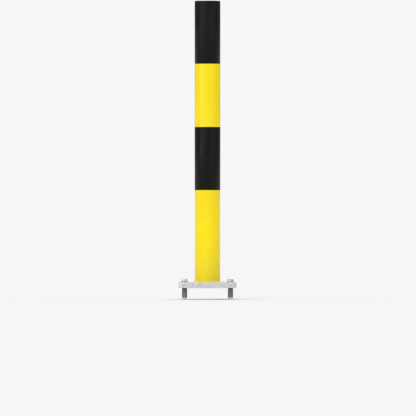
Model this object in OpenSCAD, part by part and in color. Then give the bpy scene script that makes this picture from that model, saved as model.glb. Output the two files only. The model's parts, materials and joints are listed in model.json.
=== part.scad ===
// Fixed safety bollard: a round steel post with warning bands, welded to a square base plate
// and bolted down with four sleeve anchors.
// The origin is the centre of the plate's underside, at ground level. +Z is up, and the front faces -Y.

/* [Post] */
// Height from the ground to the top of the end cap
post_height = 1000; // [700:10:1200]
// Outside diameter of the steel tube
tube_d = 88.9; // [76.1:0.1:101.6]
// Wall thickness of the tube
tube_wall = 3.2; // [2.6:0.1:4.5]

/* [Warning bands] */
// Height of one band
band_height = 220; // [120:10:220]
// Thickness of the black film
film = 0.3; // [0.1:0.1:0.5]

/* [End cap] */
// Thickness of the cap's flange, which closes the tube
cap_flange = 3.5; // [3:0.5:6]
// Depth of the cup that plugs into the tube
cap_depth = 30; // [24:1:40]
// Wall of the cup
cap_wall = 2.5; // [2:0.25:3]
// Number of gripping lips around the cup
cap_lips = 4; // [2:1:4]

/* [Base plate] */
// Side of the square plate
plate_w = 200; // [190:5:240]
// Thickness of the plate
plate_t = 20; // [15:1:25]
// Radius of the plate's upright corners
plate_corner_r = 10; // [8:1:15]
// Radius of the plate's upper edge
plate_edge_r = 4; // [1:0.5:4]
// Distance between anchor holes, centre to centre
hole_spacing = 160; // [150:5:160]
// Diameter of an anchor hole
hole_d = 20; // [19:0.5:22]
// Diameter of the vent hole in the middle, inside the tube
vent_d = 30; // [10:1:50]
// Leg of the fillet weld around the tube's foot
weld_leg = 3; // [2:0.5:4]

/* [Anchors] */
// Diameter of the hole that the anchor goes into
drill_d = 18; // [18:0.1:18.4]
// Depth of the anchor's tip below the ground
anchor_depth = 36.5; // [36:0.5:50]
// Width of the bolt's head across its flats
head_af = 19; // [18:0.5:21]
// Height of the bolt's head
head_k = 7.5; // [6:0.5:8]
// Diameter of the washer
washer_d = 24; // [22:1:26]
// Thickness of the washer
washer_t = 2; // [1.5:0.5:3]
// Number of slots in the expansion sleeve
slots = 4; // [2:1:4]

/* [Hidden] */
$fn = 96;
tube_r = tube_d / 2;
bore_r = tube_r - tube_wall;
tube_top = post_height - cap_flange;
overlap = 1; // how far a cutting tool runs past the face it cuts

// the black bands: one under the cap, one a band's height further down
top_band_low = post_height - band_height;
middle_band_low = post_height - 3 * band_height;

cap_edge_r = 1.5;
lip_gap = 0.05;
lip_t = 1.2;
lip_depth = 1.7;
cup_r = bore_r - lip_gap - lip_depth;
lip_pitch = (cap_depth - 2 * lip_t) / cap_lips;

// M12 thread
thread_r = 6;
pitch = 1.75;
thread_depth = 0.6134 * pitch;
root_r = thread_r - thread_depth;
thread_turns = 14;
nut_gap = 0.08;

washer_hole_r = 6.5;
washer_edge = 0.3;
head_face_t = 0.6; // the round bearing face under the hexagon
head_face_r = 0.43 * head_af;
head_chamfer_r = 0.475 * head_af;

// the anchor from the plate down: distance sleeve, crush collar, expansion sleeve, cone nut
sleeve_r = 8.5;
sleeve_bore_r = 6.5;
sleeve_low = -1;
collar_r = 8.6;
collar_low = -6;
shell_r = drill_d / 2 - 0.2;
shell_bore_r = 6.3;
cone_foot = 4.2; // the cone nut's exposed foot
cone_height = 14;
cone_r = 8.6;
cone_gap = 0.1;
taper_low_r = 7.9;
taper_top_r = 6.8;
tip_recess = 0.5;
nut_low = -anchor_depth;
nut_top = nut_low + cone_height;
shell_low = nut_low + cone_foot + 0.3;
slot_w = 1.5;
slot_top = collar_low - 9;
relief_r = 1.2;
rib_w = 1.2;
groove = 0.4;
groove_pitch = 4;
bolt_low = nut_low + tip_recess;
head_low = plate_t + washer_t;

// name, side in X, side in Y, and the angle at which the bolt's head came to rest
CORNERS = [
    ["front_left", -1, -1, 26],
    ["front_right", 1, -1, -24],
    ["back_left", -1, 1, -27],
    ["back_right", 1, 1, 23]
];
ANCHOR_PIECES = ["bolt", "washer", "distance_sleeve", "crush_collar", "expansion_sleeve", "cone_nut"];

// A straight round pipe, standing on the plane z = low.
module pipe(outer_r, inner_r, low, high) {
    translate([0, 0, low]) rotate_extrude()
        translate([inner_r, 0]) square([outer_r - inner_r, high - low]);
}

// Places its children at one corner of the hole pattern.
module at_corner(corner) {
    translate([corner[1] * hole_spacing / 2, corner[2] * hole_spacing / 2, 0]) children();
}

// The outline of a slab whose two upper edges are rounded.
module rounded_slab_outline(width) {
    translate([-width / 2, 0]) square([width, plate_t - plate_edge_r]);
    translate([plate_edge_r - width / 2, 0]) square([width - 2 * plate_edge_r, plate_t]);
    for (side = [-1, 1])
        translate([side * (width / 2 - plate_edge_r), plate_t - plate_edge_r]) circle(plate_edge_r);
}

// One bar of the plate, running along Y and short of the corner circles at both ends.
module plate_bar() {
    bar_length = plate_w - 2 * plate_corner_r;
    translate([0, bar_length / 2, 0]) rotate([90, 0, 0])
        linear_extrude(bar_length) rounded_slab_outline(plate_w);
}

// One upright corner of the plate, with the same rounded upper edge.
module plate_corner() {
    rotate_extrude() {
        square([plate_corner_r, plate_t - plate_edge_r]);
        square([plate_corner_r - plate_edge_r, plate_t]);
        translate([plate_corner_r - plate_edge_r, plate_t - plate_edge_r]) intersection() {
            circle(plate_edge_r);
            square(plate_edge_r);
        }
    }
}

module post_tube() {
    color("gold") pipe(tube_r, bore_r, plate_t, tube_top);
}

// A plug cap: a flange as wide as the tube, and a cup with springy lips that grip the bore.
module end_cap() {
    color([0.11, 0.11, 0.1]) translate([0, 0, tube_top]) {
        rotate_extrude() {
            square([tube_r - cap_edge_r, cap_flange]);
            square([tube_r, cap_flange - cap_edge_r]);
            translate([tube_r - cap_edge_r, cap_flange - cap_edge_r]) intersection() {
                circle(cap_edge_r);
                square(cap_edge_r);
            }
            translate([cup_r - cap_wall, -cap_depth]) square([cap_wall, cap_depth]);
            for (lip = [0 : cap_lips - 1])
                translate([cup_r - cap_wall / 2, -cap_depth + lip_t + lip * lip_pitch])
                    square([cap_wall / 2 + lip_depth, lip_t]);
        }
    }
}

module base_plate() {
    color("silver") difference() {
        union() {
            plate_bar();
            rotate([0, 0, 90]) plate_bar();
            for (x = [-1, 1], y = [-1, 1])
                translate([x * (plate_w / 2 - plate_corner_r), y * (plate_w / 2 - plate_corner_r), 0])
                    plate_corner();
        }
        for (corner = CORNERS)
            at_corner(corner) translate([0, 0, -overlap]) cylinder(d = hole_d, h = plate_t + 2 * overlap);
        translate([0, 0, -overlap]) cylinder(d = vent_d, h = plate_t + 2 * overlap);
    }
}

// The fillet weld that joins the tube to the plate.
module base_weld() {
    bulge = 0.6 * weld_leg;
    color("gold") translate([0, 0, plate_t]) rotate_extrude()
        polygon([
            [tube_r, 0],
            [tube_r + weld_leg, 0],
            [tube_r + bulge, bulge],
            [tube_r, weld_leg]
        ]);
}

module black_band(low, high) {
    color([0.11, 0.11, 0.1]) pipe(tube_r + film, tube_r, low, high);
}

module black_band_top() {
    black_band(top_band_low, tube_top);
}

module black_band_middle() {
    black_band(middle_band_low, middle_band_low + band_height);
}

// One turn of thread as four points: up the lower flank, along the crest, back down to the root.
function thread_turn(low) = [
    [root_r, low + pitch / 8],
    [thread_r, low + pitch * 7 / 16],
    [thread_r, low + pitch * 9 / 16],
    [root_r, low + pitch * 7 / 8]
];

// The bolt's shank: a chamfered tip, the threaded length with each turn as a ring, and a plain neck.
module shank() {
    thread_low = bolt_low + 0.6;
    thread_high = thread_low + thread_turns * pitch;
    rotate_extrude() polygon(concat(
        [[0, bolt_low], [root_r - 0.4, bolt_low], [root_r, thread_low]],
        [for (turn = [0 : thread_turns - 1]) each thread_turn(thread_low + turn * pitch)],
        [[root_r, thread_high], [thread_r, thread_high + thread_depth]],
        [[thread_r, head_low + head_face_t], [0, head_low + head_face_t]]
    ));
}

// A hexagon head with its corners chamfered at the top, on a round bearing face.
module hex_head(turned) {
    corner_r = head_af / sqrt(3);
    clear_r = corner_r + 0.2;
    chamfer_drop = (clear_r - head_chamfer_r) * tan(30);
    translate([0, 0, head_low]) {
        cylinder(r = head_face_r, h = head_face_t);
        intersection() {
            rotate([0, 0, turned]) translate([0, 0, head_face_t])
                cylinder(r = corner_r, h = head_k - head_face_t, $fn = 6);
            rotate_extrude() polygon([
                [0, 0],
                [clear_r, 0],
                [clear_r, head_k - chamfer_drop],
                [head_chamfer_r, head_k],
                [0, head_k]
            ]);
        }
    }
}

module bolt(corner) {
    color("gainsboro") at_corner(corner) {
        hex_head(corner[3]);
        shank();
    }
}

module washer(corner) {
    washer_r = washer_d / 2;
    color("gainsboro") at_corner(corner) translate([0, 0, plate_t]) rotate_extrude()
        polygon([
            [washer_hole_r, 0],
            [washer_r, 0],
            [washer_r, washer_t - washer_edge],
            [washer_r - washer_edge, washer_t],
            [washer_hole_r, washer_t]
        ]);
}

module distance_sleeve(corner) {
    color("dimgray") at_corner(corner) pipe(sleeve_r, sleeve_bore_r, sleeve_low, plate_t);
}

// The nylon collar that crushes when the bolt is tightened, with a waist where it folds.
module crush_collar(corner) {
    waist = (sleeve_low + collar_low) / 2;
    color([0.13, 0.13, 0.14]) at_corner(corner) rotate_extrude()
        polygon([
            [sleeve_bore_r, collar_low],
            [collar_r, collar_low],
            [collar_r, waist - 1],
            [collar_r - 0.6, waist],
            [collar_r, waist + 1],
            [collar_r, sleeve_low],
            [sleeve_bore_r, sleeve_low]
        ]);
}

// The split shell that the cone spreads against the wall of the hole.
module expansion_sleeve(corner) {
    taper_in_r = taper_low_r + cone_gap;
    taper_out_r = taper_top_r + cone_gap;
    color("dimgray") at_corner(corner) difference() {
        rotate_extrude() polygon([
            [shell_bore_r, collar_low],
            [shell_bore_r, nut_top + taper_out_r - shell_bore_r],
            [taper_out_r, nut_top],
            [taper_in_r, shell_low],
            [shell_r - 0.3, shell_low],
            [shell_r, shell_low + 0.5],
            [shell_r, collar_low]
        ]);
        for (ring = [1 : 3]) translate([0, 0, shell_low + ring * groove_pitch])
            rotate_extrude() polygon([
                [shell_r - groove, 0],
                [shell_r + groove, -2 * groove],
                [shell_r + groove, 2 * groove]
            ]);
        for (slot = [0 : slots - 1]) rotate([0, 0, slot * 360 / slots - 90]) {
            translate([shell_bore_r - overlap, -slot_w / 2, shell_low - overlap])
                cube([shell_r - shell_bore_r + 2 * overlap, slot_w, slot_top - shell_low + overlap]);
            translate([shell_bore_r - overlap, 0, slot_top]) rotate([0, 90, 0])
                cylinder(r = relief_r, h = shell_r - shell_bore_r + 2 * overlap);
        }
    }
}

// The nut at the tip: a taper that spreads the shell, a foot, and ribs that keep it from turning.
module cone_nut(corner) {
    foot_top = nut_low + cone_foot;
    foot_chamfer = 0.8;
    rib_top = nut_top - 1.5;
    color("gainsboro") at_corner(corner) difference() {
        union() {
            rotate_extrude() polygon([
                [0, nut_low],
                [cone_r - foot_chamfer, nut_low],
                [cone_r, nut_low + foot_chamfer],
                [cone_r, foot_top],
                [taper_low_r, foot_top],
                [taper_low_r, shell_low],
                [taper_top_r, nut_top],
                [0, nut_top]
            ]);
            intersection() {
                translate([0, 0, foot_top]) cylinder(r = cone_r, h = rib_top - foot_top);
                for (rib = [0 : slots - 1]) rotate([0, 0, rib * 360 / slots - 90])
                    translate([thread_r, -rib_w / 2, foot_top - overlap])
                        cube([cone_r, rib_w, rib_top - foot_top + 2 * overlap]);
            }
        }
        translate([0, 0, nut_low - overlap]) cylinder(r = thread_r + nut_gap, h = cone_height + 2 * overlap);
    }
}

post_tube();
end_cap();
base_plate();
base_weld();
black_band_top();
black_band_middle();
for (corner = CORNERS) {
    bolt(corner);
    washer(corner);
    distance_sleeve(corner);
    crush_collar(corner);
    expansion_sleeve(corner);
    cone_nut(corner);
}
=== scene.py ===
# %% [markdown]
# # A striped safety bollard, piece by piece
# The engineering model gives every part of the bollard its size and its place. This lesson dresses it:
# each piece gets a surface worked out from a formula, and a finish that is built from noise and
# gradients. Everything is in metres. The ground is the plane z = 0, the post stands on it, and the front
# faces -Y.

import json
import math

import bmesh
import bpy
import numpy as np
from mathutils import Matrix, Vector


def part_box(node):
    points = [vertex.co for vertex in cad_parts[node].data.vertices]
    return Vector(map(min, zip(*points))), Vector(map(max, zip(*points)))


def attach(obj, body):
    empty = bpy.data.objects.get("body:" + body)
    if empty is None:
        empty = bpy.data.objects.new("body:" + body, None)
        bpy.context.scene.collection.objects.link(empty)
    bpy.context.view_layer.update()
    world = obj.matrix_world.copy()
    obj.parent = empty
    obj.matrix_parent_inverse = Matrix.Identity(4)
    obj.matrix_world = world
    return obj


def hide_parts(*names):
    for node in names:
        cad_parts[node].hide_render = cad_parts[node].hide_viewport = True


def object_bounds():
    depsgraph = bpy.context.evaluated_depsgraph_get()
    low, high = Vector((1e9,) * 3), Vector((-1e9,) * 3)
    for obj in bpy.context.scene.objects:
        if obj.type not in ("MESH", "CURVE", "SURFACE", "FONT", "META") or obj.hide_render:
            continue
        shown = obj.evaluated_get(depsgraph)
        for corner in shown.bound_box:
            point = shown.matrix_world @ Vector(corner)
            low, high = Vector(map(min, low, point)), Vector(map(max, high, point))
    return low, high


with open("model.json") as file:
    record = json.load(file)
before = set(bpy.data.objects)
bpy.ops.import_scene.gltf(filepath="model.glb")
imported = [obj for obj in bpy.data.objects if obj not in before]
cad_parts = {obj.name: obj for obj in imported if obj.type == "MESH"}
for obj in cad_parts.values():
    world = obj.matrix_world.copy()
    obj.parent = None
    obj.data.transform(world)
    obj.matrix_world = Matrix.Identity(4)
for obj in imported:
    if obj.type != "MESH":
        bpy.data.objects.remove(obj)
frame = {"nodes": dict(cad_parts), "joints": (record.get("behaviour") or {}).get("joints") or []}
cad_low, cad_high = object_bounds()
MM = 0.001
CORNERS = ("front_left", "front_right", "back_left", "back_right")
print("the frame holds", len(frame["nodes"]), "parts, up to", round(cad_high.z, 4), "m")

# %% [markdown]
# ## The camera
# A tall post is judged best in an elevation: level, square on, and with next to no perspective. An
# orthographic camera would have none at all, but it also loses the feel of near and far as it moves
# round. A long lens a long way off looks the same here, and behaves like any other camera.

# %% Camera
FRAME_WIDTH = 1.4498  # what the camera takes in at the post, in metres
CAMERA_AWAY = 24.0
CAMERA_X = 0.0017
CAMERA_Z = 0.2779
SENSOR = 36.0

camera_data = bpy.data.cameras.new("elevation")
camera_data.sensor_width = SENSOR
camera_data.lens = SENSOR * CAMERA_AWAY / FRAME_WIDTH
camera_data.clip_end = 4 * CAMERA_AWAY
camera = bpy.data.objects.new("elevation", camera_data)
camera.location = (CAMERA_X, -CAMERA_AWAY, CAMERA_Z)
camera.rotation_euler = (math.radians(90), 0, 0)
bpy.context.scene.collection.objects.link(camera)
bpy.context.scene.camera = camera
bpy.context.scene.view_settings.view_transform = "Standard"
print("lens", round(camera_data.lens), "mm at", CAMERA_AWAY, "m")

# %% [markdown]
# ## The light
# Paint shows its colour in broad, even light, and its gloss in a few bright shapes. Area lamps could give
# both, but each has to be placed, sized and kept off the floor. So this studio is all sky: plain and
# pale, with soft boxes laid over it as smooth spots around a direction each. A box of negative strength
# is a dark flag. Flags behind the post darken its two edges, so that it stands out.

# %% Light
SKY = 0.50
PALE = 0.93
RIM_SOFTNESS = 0.35  # the share of its half width over which a box fades, on each side of its rim
SOFT_BOXES = (
    # azimuth from the front, towards the right; elevation; half width, all in degrees; strength
    (-36, 32, 26, 1.35),
    (48, 24, 24, 0.8),
    (-58, 9, 8, 4.5),
    (0, 90, 44, 0.35),
    (180, 0, 46, -0.40),
    (-98, 6, 18, -0.20),
    (98, 6, 18, -0.26),
    (170, 50, 34, 0.95),
)
print(len(SOFT_BOXES), "soft boxes")

# %% The sky's tools
world = bpy.data.worlds.new("studio")
bpy.context.scene.world = world
world.use_nodes = True
sky = world.node_tree
sky.nodes.clear()
looking = sky.nodes.new("ShaderNodeTexCoord").outputs["Generated"]


def direction(azimuth, elevation):
    """The unit vector at this azimuth from the front, towards the right, and this elevation, in
    degrees."""
    a, e = math.radians(azimuth), math.radians(elevation)
    return (math.sin(a) * math.cos(e), -math.cos(a) * math.cos(e), math.sin(e))


def soft_box(azimuth, elevation, half_width, strength):
    """The socket that says how bright one box is where a ray looks: full near its middle, none past its
    rim."""
    facing = sky.nodes.new("ShaderNodeVectorMath")
    facing.operation = "DOT_PRODUCT"
    sky.links.new(looking, facing.inputs[0])
    facing.inputs[1].default_value = direction(azimuth, elevation)
    spot = sky.nodes.new("ShaderNodeMapRange")
    spot.interpolation_type = "SMOOTHSTEP"
    spot.inputs["From Min"].default_value = math.cos(math.radians((1 + RIM_SOFTNESS) * half_width))
    spot.inputs["From Max"].default_value = math.cos(math.radians((1 - RIM_SOFTNESS) * half_width))
    spot.inputs["To Max"].default_value = strength
    sky.links.new(facing.outputs["Value"], spot.inputs["Value"])
    return spot.outputs["Result"]


def total(first, second):
    """The socket that adds two brightnesses."""
    add = sky.nodes.new("ShaderNodeMath")
    add.operation = "ADD"
    sky.links.new(first, add.inputs[0])
    if isinstance(second, float):
        add.inputs[1].default_value = second
    else:
        sky.links.new(second, add.inputs[1])
    return add.outputs["Value"]


print("a box of half width 20 degrees is full up to", 20 * (1 - RIM_SOFTNESS), "degrees from its middle")

# %% [markdown]
# All boxes are added to the plain sky. What the camera sees directly is a plain pale background instead,
# so the boxes show on the bollard and nowhere else.

# %% The sky
brightness = SKY
for box in SOFT_BOXES:
    brightness = total(soft_box(*box), brightness)
seen = sky.nodes.new("ShaderNodeMix")
sky.links.new(sky.nodes.new("ShaderNodeLightPath").outputs["Is Camera Ray"], seen.inputs["Factor"])
sky.links.new(brightness, seen.inputs["A"])
seen.inputs["B"].default_value = PALE
background = sky.nodes.new("ShaderNodeBackground")
background.inputs["Color"].default_value = (1, 1, 1, 1)
sky.links.new(seen.outputs["Result"], background.inputs["Strength"])
outside = sky.nodes.new("ShaderNodeOutputWorld")
sky.links.new(background.outputs["Background"], outside.inputs["Surface"])
print("sky with", len(sky.nodes), "nodes")

# %% [markdown]
# ## The floor
# The anchors belong under the ground, but nobody would see them there. So the floor lies just below their
# tips, by as much as the cone nuts come down when the bolts are slackened, and the whole bollard is in
# view. It is one wide disc. A backdrop with a swept-up edge would hide the horizon as well, but here the
# disc's shade does it, because it meets the sky's.

# %% Floor
FLOOR_RADIUS = 60.0
FLOOR_SHADE = 0.84  # under this light, the shade that meets the pale background with no seam

floor_finish = bpy.data.materials.new("floor")
floor_finish.use_nodes = True
floor_shader = floor_finish.node_tree.nodes["Principled BSDF"]
floor_shader.inputs["Base Color"].default_value = (FLOOR_SHADE, FLOOR_SHADE, FLOOR_SHADE, 1)
floor_shader.inputs["Roughness"].default_value = 0.9
floor_shader.inputs["Specular IOR Level"].default_value = 0.0
slack = max(joint["range_m"][1] for joint in frame["joints"] if joint["type"] == "slide")
floor_z = cad_low.z - slack
bpy.ops.mesh.primitive_circle_add(vertices=96, radius=FLOOR_RADIUS, fill_type="NGON")
floor = bpy.context.object
floor.location.z = floor_z
floor.name = "floor"
floor.data.materials.append(floor_finish)
print("floor at", round(floor_z, 4), "m")

# %% [markdown]
# ## From a formula to a mesh
# Most pieces here were turned, rolled or drawn, so each is an outline carried round an axis. A curve with
# a Screw modifier could do that, and so could a cylinder with bevels. Worked out with numpy, the same
# outline can also be bent on its way round, which seams, ribs and threads need. The outline is a short
# list of corners. Real corners are never quite sharp, and a small arc at each one catches the light, so
# every outline is rounded first. Spinning it gives a grid of points, and the grid gives faces.

# %% Outlines and grids
ARC_SHARE = 0.48  # the share of a side that the arc at one end of it may take
NEARLY_STRAIGHT = 0.999999


def rounded(corners, radius, steps=4, closed=True):
    """The outline with an arc at each corner. An arc's centre lies on the corner's bisector, and its ends
    lie one tangent length along both sides. Where the sides are too short for that, the tangent and the
    arc shrink. An open outline keeps its two ends as they are."""
    p = np.array(corners, float)
    radii = np.full(len(p), radius, float)
    if not closed:
        radii[[0, -1]] = 0
    back, forward = np.roll(p, 1, axis=0) - p, np.roll(p, -1, axis=0) - p
    back_length = np.linalg.norm(back, axis=1)
    forward_length = np.linalg.norm(forward, axis=1)
    back /= back_length[:, None]
    forward /= forward_length[:, None]
    half = np.arccos(np.clip((back * forward).sum(1), -NEARLY_STRAIGHT, NEARLY_STRAIGHT)) / 2
    tangent = np.minimum(radii / np.tan(half), ARC_SHARE * np.minimum(back_length, forward_length))
    bisector = back + forward
    bisector /= np.linalg.norm(bisector, axis=1)[:, None]
    centre = p + bisector * (tangent / np.cos(half))[:, None]
    start = p + back * tangent[:, None] - centre
    end = p + forward * tangent[:, None] - centre
    turn = (np.pi - 2 * half)[:, None, None]
    share = np.linspace(0, 1, steps)[None, :, None]
    arc = (np.sin((1 - share) * turn) * start[:, None] + np.sin(share * turn) * end[:, None]) / np.sin(turn)
    return (centre[:, None] + arc).reshape(-1, 2)


def full_turn(columns, start=0.0):
    """This many angles, evenly spread over one turn."""
    return start + np.arange(columns) / columns * 2 * np.pi


def spun(outline, angles, centre=(0.0, 0.0), shape=None):
    """A surface of revolution. The point in row i and column j has the outline's i-th radius and height,
    and the j-th angle. shape(angle, radius, height) may return other radii and heights for the whole
    grid."""
    radius = outline[:, 0][:, None] + 0 * angles
    height = outline[:, 1][:, None] + 0 * angles
    if shape:
        radius, height = shape(angles[None, :], radius, height)
    x = centre[0] + radius * np.cos(angles)
    y = centre[1] + radius * np.sin(angles)
    return np.stack([x, y, height], axis=-1)


def grid_faces(rows, columns, rows_close, columns_close):
    """The four corners of every cell of a grid. The last row or column joins the first where that one
    closes."""
    row = np.arange(rows if rows_close else rows - 1)[:, None]
    column = np.arange(columns if columns_close else columns - 1)[None, :]
    below = (row + 1) % rows
    beside = (column + 1) % columns
    this, next_row = row * columns, below * columns
    corners = (this + column, this + beside, next_row + beside, next_row + column)
    return np.stack(corners, axis=-1).reshape(-1, 4)


print("outline and grid tools ready")

# %% [markdown]
# Two numbers ride on every point for the finishes to use. **along** is the distance covered on the
# outline, for turning marks and brushed lines. **wear** says how far the surface bends away at the point:
# a tool or a shoe rubs hardest on an outer edge, and dust stays where a surface bends in. Both could be
# painted on by hand, but the mesh knows them already.

# %% A grid becomes a piece
MERGE = 1e-6
CREASE = math.radians(32)


def lay_out(grids):
    """One list of points, faces and distances for several grids. A grid is (points, rows close, columns
    close)."""
    points, faces, along, first = [], [], [], 0
    for grid, rows_close, columns_close in grids:
        rows, columns = grid.shape[:2]
        step = np.linalg.norm(np.diff(grid, axis=0), axis=2)
        distance = np.concatenate([np.zeros((1, columns)), np.cumsum(step, axis=0)])
        points.append(grid.reshape(-1, 3))
        faces.append(first + grid_faces(rows, columns, rows_close, columns_close))
        along.append(distance.reshape(-1))
        first += rows * columns
    return np.concatenate(points), np.concatenate(faces), np.concatenate(along)


def bend_away(mesh):
    """For each point, the mean over its edges of how far the edge falls below the point's tangent
    plane."""
    count = len(mesh.vertices)
    place, normal = np.empty(count * 3), np.empty(count * 3)
    mesh.vertices.foreach_get("co", place)
    mesh.vertices.foreach_get("normal", normal)
    ends = np.empty(len(mesh.edges) * 2, np.int32)
    mesh.edges.foreach_get("vertices", ends)
    place, normal, ends = place.reshape(-1, 3), normal.reshape(-1, 3), ends.reshape(-1, 2)
    way = place[ends[:, 1]] - place[ends[:, 0]]
    way /= np.maximum(np.linalg.norm(way, axis=1), 1e-12)[:, None]
    fall, edges = np.zeros(count), np.zeros(count)
    np.add.at(fall, ends[:, 0], -(way * normal[ends[:, 0]]).sum(1))
    np.add.at(fall, ends[:, 1], (way * normal[ends[:, 1]]).sum(1))
    np.add.at(edges, ends.reshape(-1), 1)
    return fall / np.maximum(edges, 1)


def add_piece(name, grids, body, nodes, finish, flats=()):
    """Makes the mesh, closes its seams and poles, turns its faces outwards, and ties it to the frame.
    Open borders at a height in flats are filled with triangles, around any holes."""
    points, faces, along = lay_out(grids)
    mesh = bpy.data.meshes.new(name)
    mesh.from_pydata(points.tolist(), [], faces.tolist())
    mesh.attributes.new("along", "FLOAT", "POINT").data.foreach_set("value", along)
    form = bmesh.new()
    form.from_mesh(mesh)
    bmesh.ops.remove_doubles(form, verts=form.verts, dist=MERGE)
    for level in flats:
        open_rim = [edge for edge in form.edges if edge.is_boundary]
        border = [edge for edge in open_rim if all(abs(v.co.z - level) < MERGE for v in edge.verts)]
        bmesh.ops.triangle_fill(form, use_beauty=True, edges=border)
    bmesh.ops.recalc_face_normals(form, faces=form.faces)
    open_edges = sum(not edge.is_manifold for edge in form.edges)
    form.to_mesh(mesh)
    form.free()
    mesh.attributes.new("wear", "FLOAT", "POINT").data.foreach_set("value", bend_away(mesh))
    mesh.shade_smooth()
    mesh.set_sharp_from_angle(angle=CREASE)
    mesh.materials.append(finish)
    piece = bpy.data.objects.new(name, mesh)
    bpy.context.scene.collection.objects.link(piece)
    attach(piece, body)
    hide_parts(*nodes)
    print(name, len(mesh.polygons), "faces,", open_edges, "open edges")
    return piece

# %% [markdown]
# ## Finishes
# A finish is more than a colour. Light tells steel from plastic by how sharply it comes back, and it
# finds every dent on the way. So each finish below sets a colour, a roughness and a relief, and each of
# the three is steered by noise. A picture wrapped round the piece would need a seam and would blur close
# up, and noise does neither. The patterns are laid out in the bollard's own metres, so a noise with "800
# clouds to the metre" has clouds a little over a millimetre wide on every piece.

# %% A small kit for finishes
class Finish:
    """A material under construction. Its patterns use the object's own coordinates, in metres."""

    def __init__(self, name, metallic, specular):
        self.material = bpy.data.materials.new(name)
        self.material.use_nodes = True
        self.tree = self.material.node_tree
        self.shader = self.tree.nodes["Principled BSDF"]
        self.shader.inputs["Metallic"].default_value = metallic
        self.shader.inputs["Specular IOR Level"].default_value = specular
        self.place = self.add("TexCoord").outputs["Object"]
        self.relief = None

    def put(self, target, value):
        """Links a socket to the target, or sets a plain value on it."""
        if isinstance(value, bpy.types.NodeSocket):
            self.tree.links.new(value, target)
        else:
            target.default_value = value

    def add(self, kind, inputs=None, **settings):
        """A new node of this kind, with its settings and inputs filled in."""
        made = self.tree.nodes.new("ShaderNode" + kind)
        for name, value in settings.items():
            setattr(made, name, value)
        for name, value in (inputs or {}).items():
            self.put(made.inputs[name], value)
        return made

    def stretched(self, scale):
        """The object's coordinates, multiplied by one number along each axis."""
        return self.add("Mapping", {"Vector": self.place, "Scale": scale}).outputs["Vector"]

    def noise(self, clouds, detail=2.0, squeeze=(1, 1, 1)):
        """Cloudy noise from 0 to 1, with this many clouds to the metre. Squeeze makes it denser along an
        axis."""
        inputs = {"Vector": self.stretched(squeeze), "Scale": clouds, "Detail": detail}
        return self.add("TexNoise", inputs).outputs["Fac"]

    def cells(self, count):
        """A patchwork with this many cells to the metre, each cell with one value from 0 to 1."""
        inputs = {"Vector": self.place, "Scale": count}
        colour = self.add("TexVoronoi", inputs).outputs["Color"]
        return self.add("SeparateColor", {"Color": colour}).outputs["Red"]

    def attribute(self, name):
        """A number that the mesh carries on its points."""
        return self.add("Attribute", attribute_name=name).outputs["Fac"]

    def axis(self, name):
        """The object's coordinate along X, Y or Z, in metres."""
        return self.add("SeparateXYZ", {"Vector": self.place}).outputs[name]

    def ease(self, value, start, stop, low=0.0, high=1.0):
        """Goes smoothly from low, where the value is start, to high, where it is stop, and stays level
        outside."""
        inputs = {"Value": value, "From Min": start, "From Max": stop, "To Min": low, "To Max": high}
        return self.add("MapRange", inputs, interpolation_type="SMOOTHSTEP").outputs["Result"]

    def math(self, operation, first, second=0.0):
        """One sum, product or other operation on two values."""
        made = self.add("Math", operation=operation)
        self.put(made.inputs[0], first)
        self.put(made.inputs[1], second)
        return made.outputs["Value"]

    def mix(self, share, first, second):
        """The first colour where share is 0, the second where it is 1."""
        made = self.add("Mix", data_type="RGBA")
        factor, a, b = [socket for socket in made.inputs if socket.enabled]
        self.put(factor, share)
        for socket, value in ((a, first), (b, second)):
            self.put(socket, value if isinstance(value, bpy.types.NodeSocket) else (*value, 1))
        return next(socket for socket in made.outputs if socket.enabled)

    def bump(self, height, depth):
        """Lets a value from 0 to 1 push the surface out by up to this many metres. Several bumps add
        up."""
        inputs = {"Height": height, "Distance": depth}
        if self.relief:
            inputs["Normal"] = self.relief
        self.relief = self.add("Bump", inputs).outputs["Normal"]
        self.put(self.shader.inputs["Normal"], self.relief)

    def finished(self, colour, roughness):
        """Puts the colour and the roughness on the shader, and gives the material."""
        self.put(self.shader.inputs["Base Color"], colour)
        self.put(self.shader.inputs["Roughness"], roughness)
        print(self.material.name, "with", len(self.tree.nodes), "nodes")
        return self.material


# %% [markdown]
# Powder coat is paint melted on in an oven. It levels out to a skin with a faint **orange peel**, a
# ripple a few millimetres wide and some micrometres high. The colour is very even, so it only drifts a
# little. Out of doors, rain splashes grit on the lowest hand's breadth, and passing things leave fine
# scuffs at knee height, which run level because a bumper or a bag slides past sideways.
#
# Noise comes out between 0 and 1, and mostly near 1/2. Easing it between two levels makes shapes of it:
# close levels give crisp islands and far ones soft drifts, and the higher they lie, the rarer the islands
# are.

# %% Yellow powder coat
YELLOW = (0.945, 0.745, 0.002)
YELLOW_DEEP = (0.920, 0.700, 0.002)
SCUFF = (0.80, 0.62, 0.10)
GRIT = (0.36, 0.31, 0.22)
SPLASH_HEIGHT = 0.17
SCUFFS_BEGIN, SCUFFS_FULL, SCUFFS_FADE, SCUFFS_END = 0.18, 0.34, 0.60, 0.78
PEEL = 420
PEEL_DEPTH = 0.03 * MM
GRIT_DEPTH = 0.04 * MM


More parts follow.
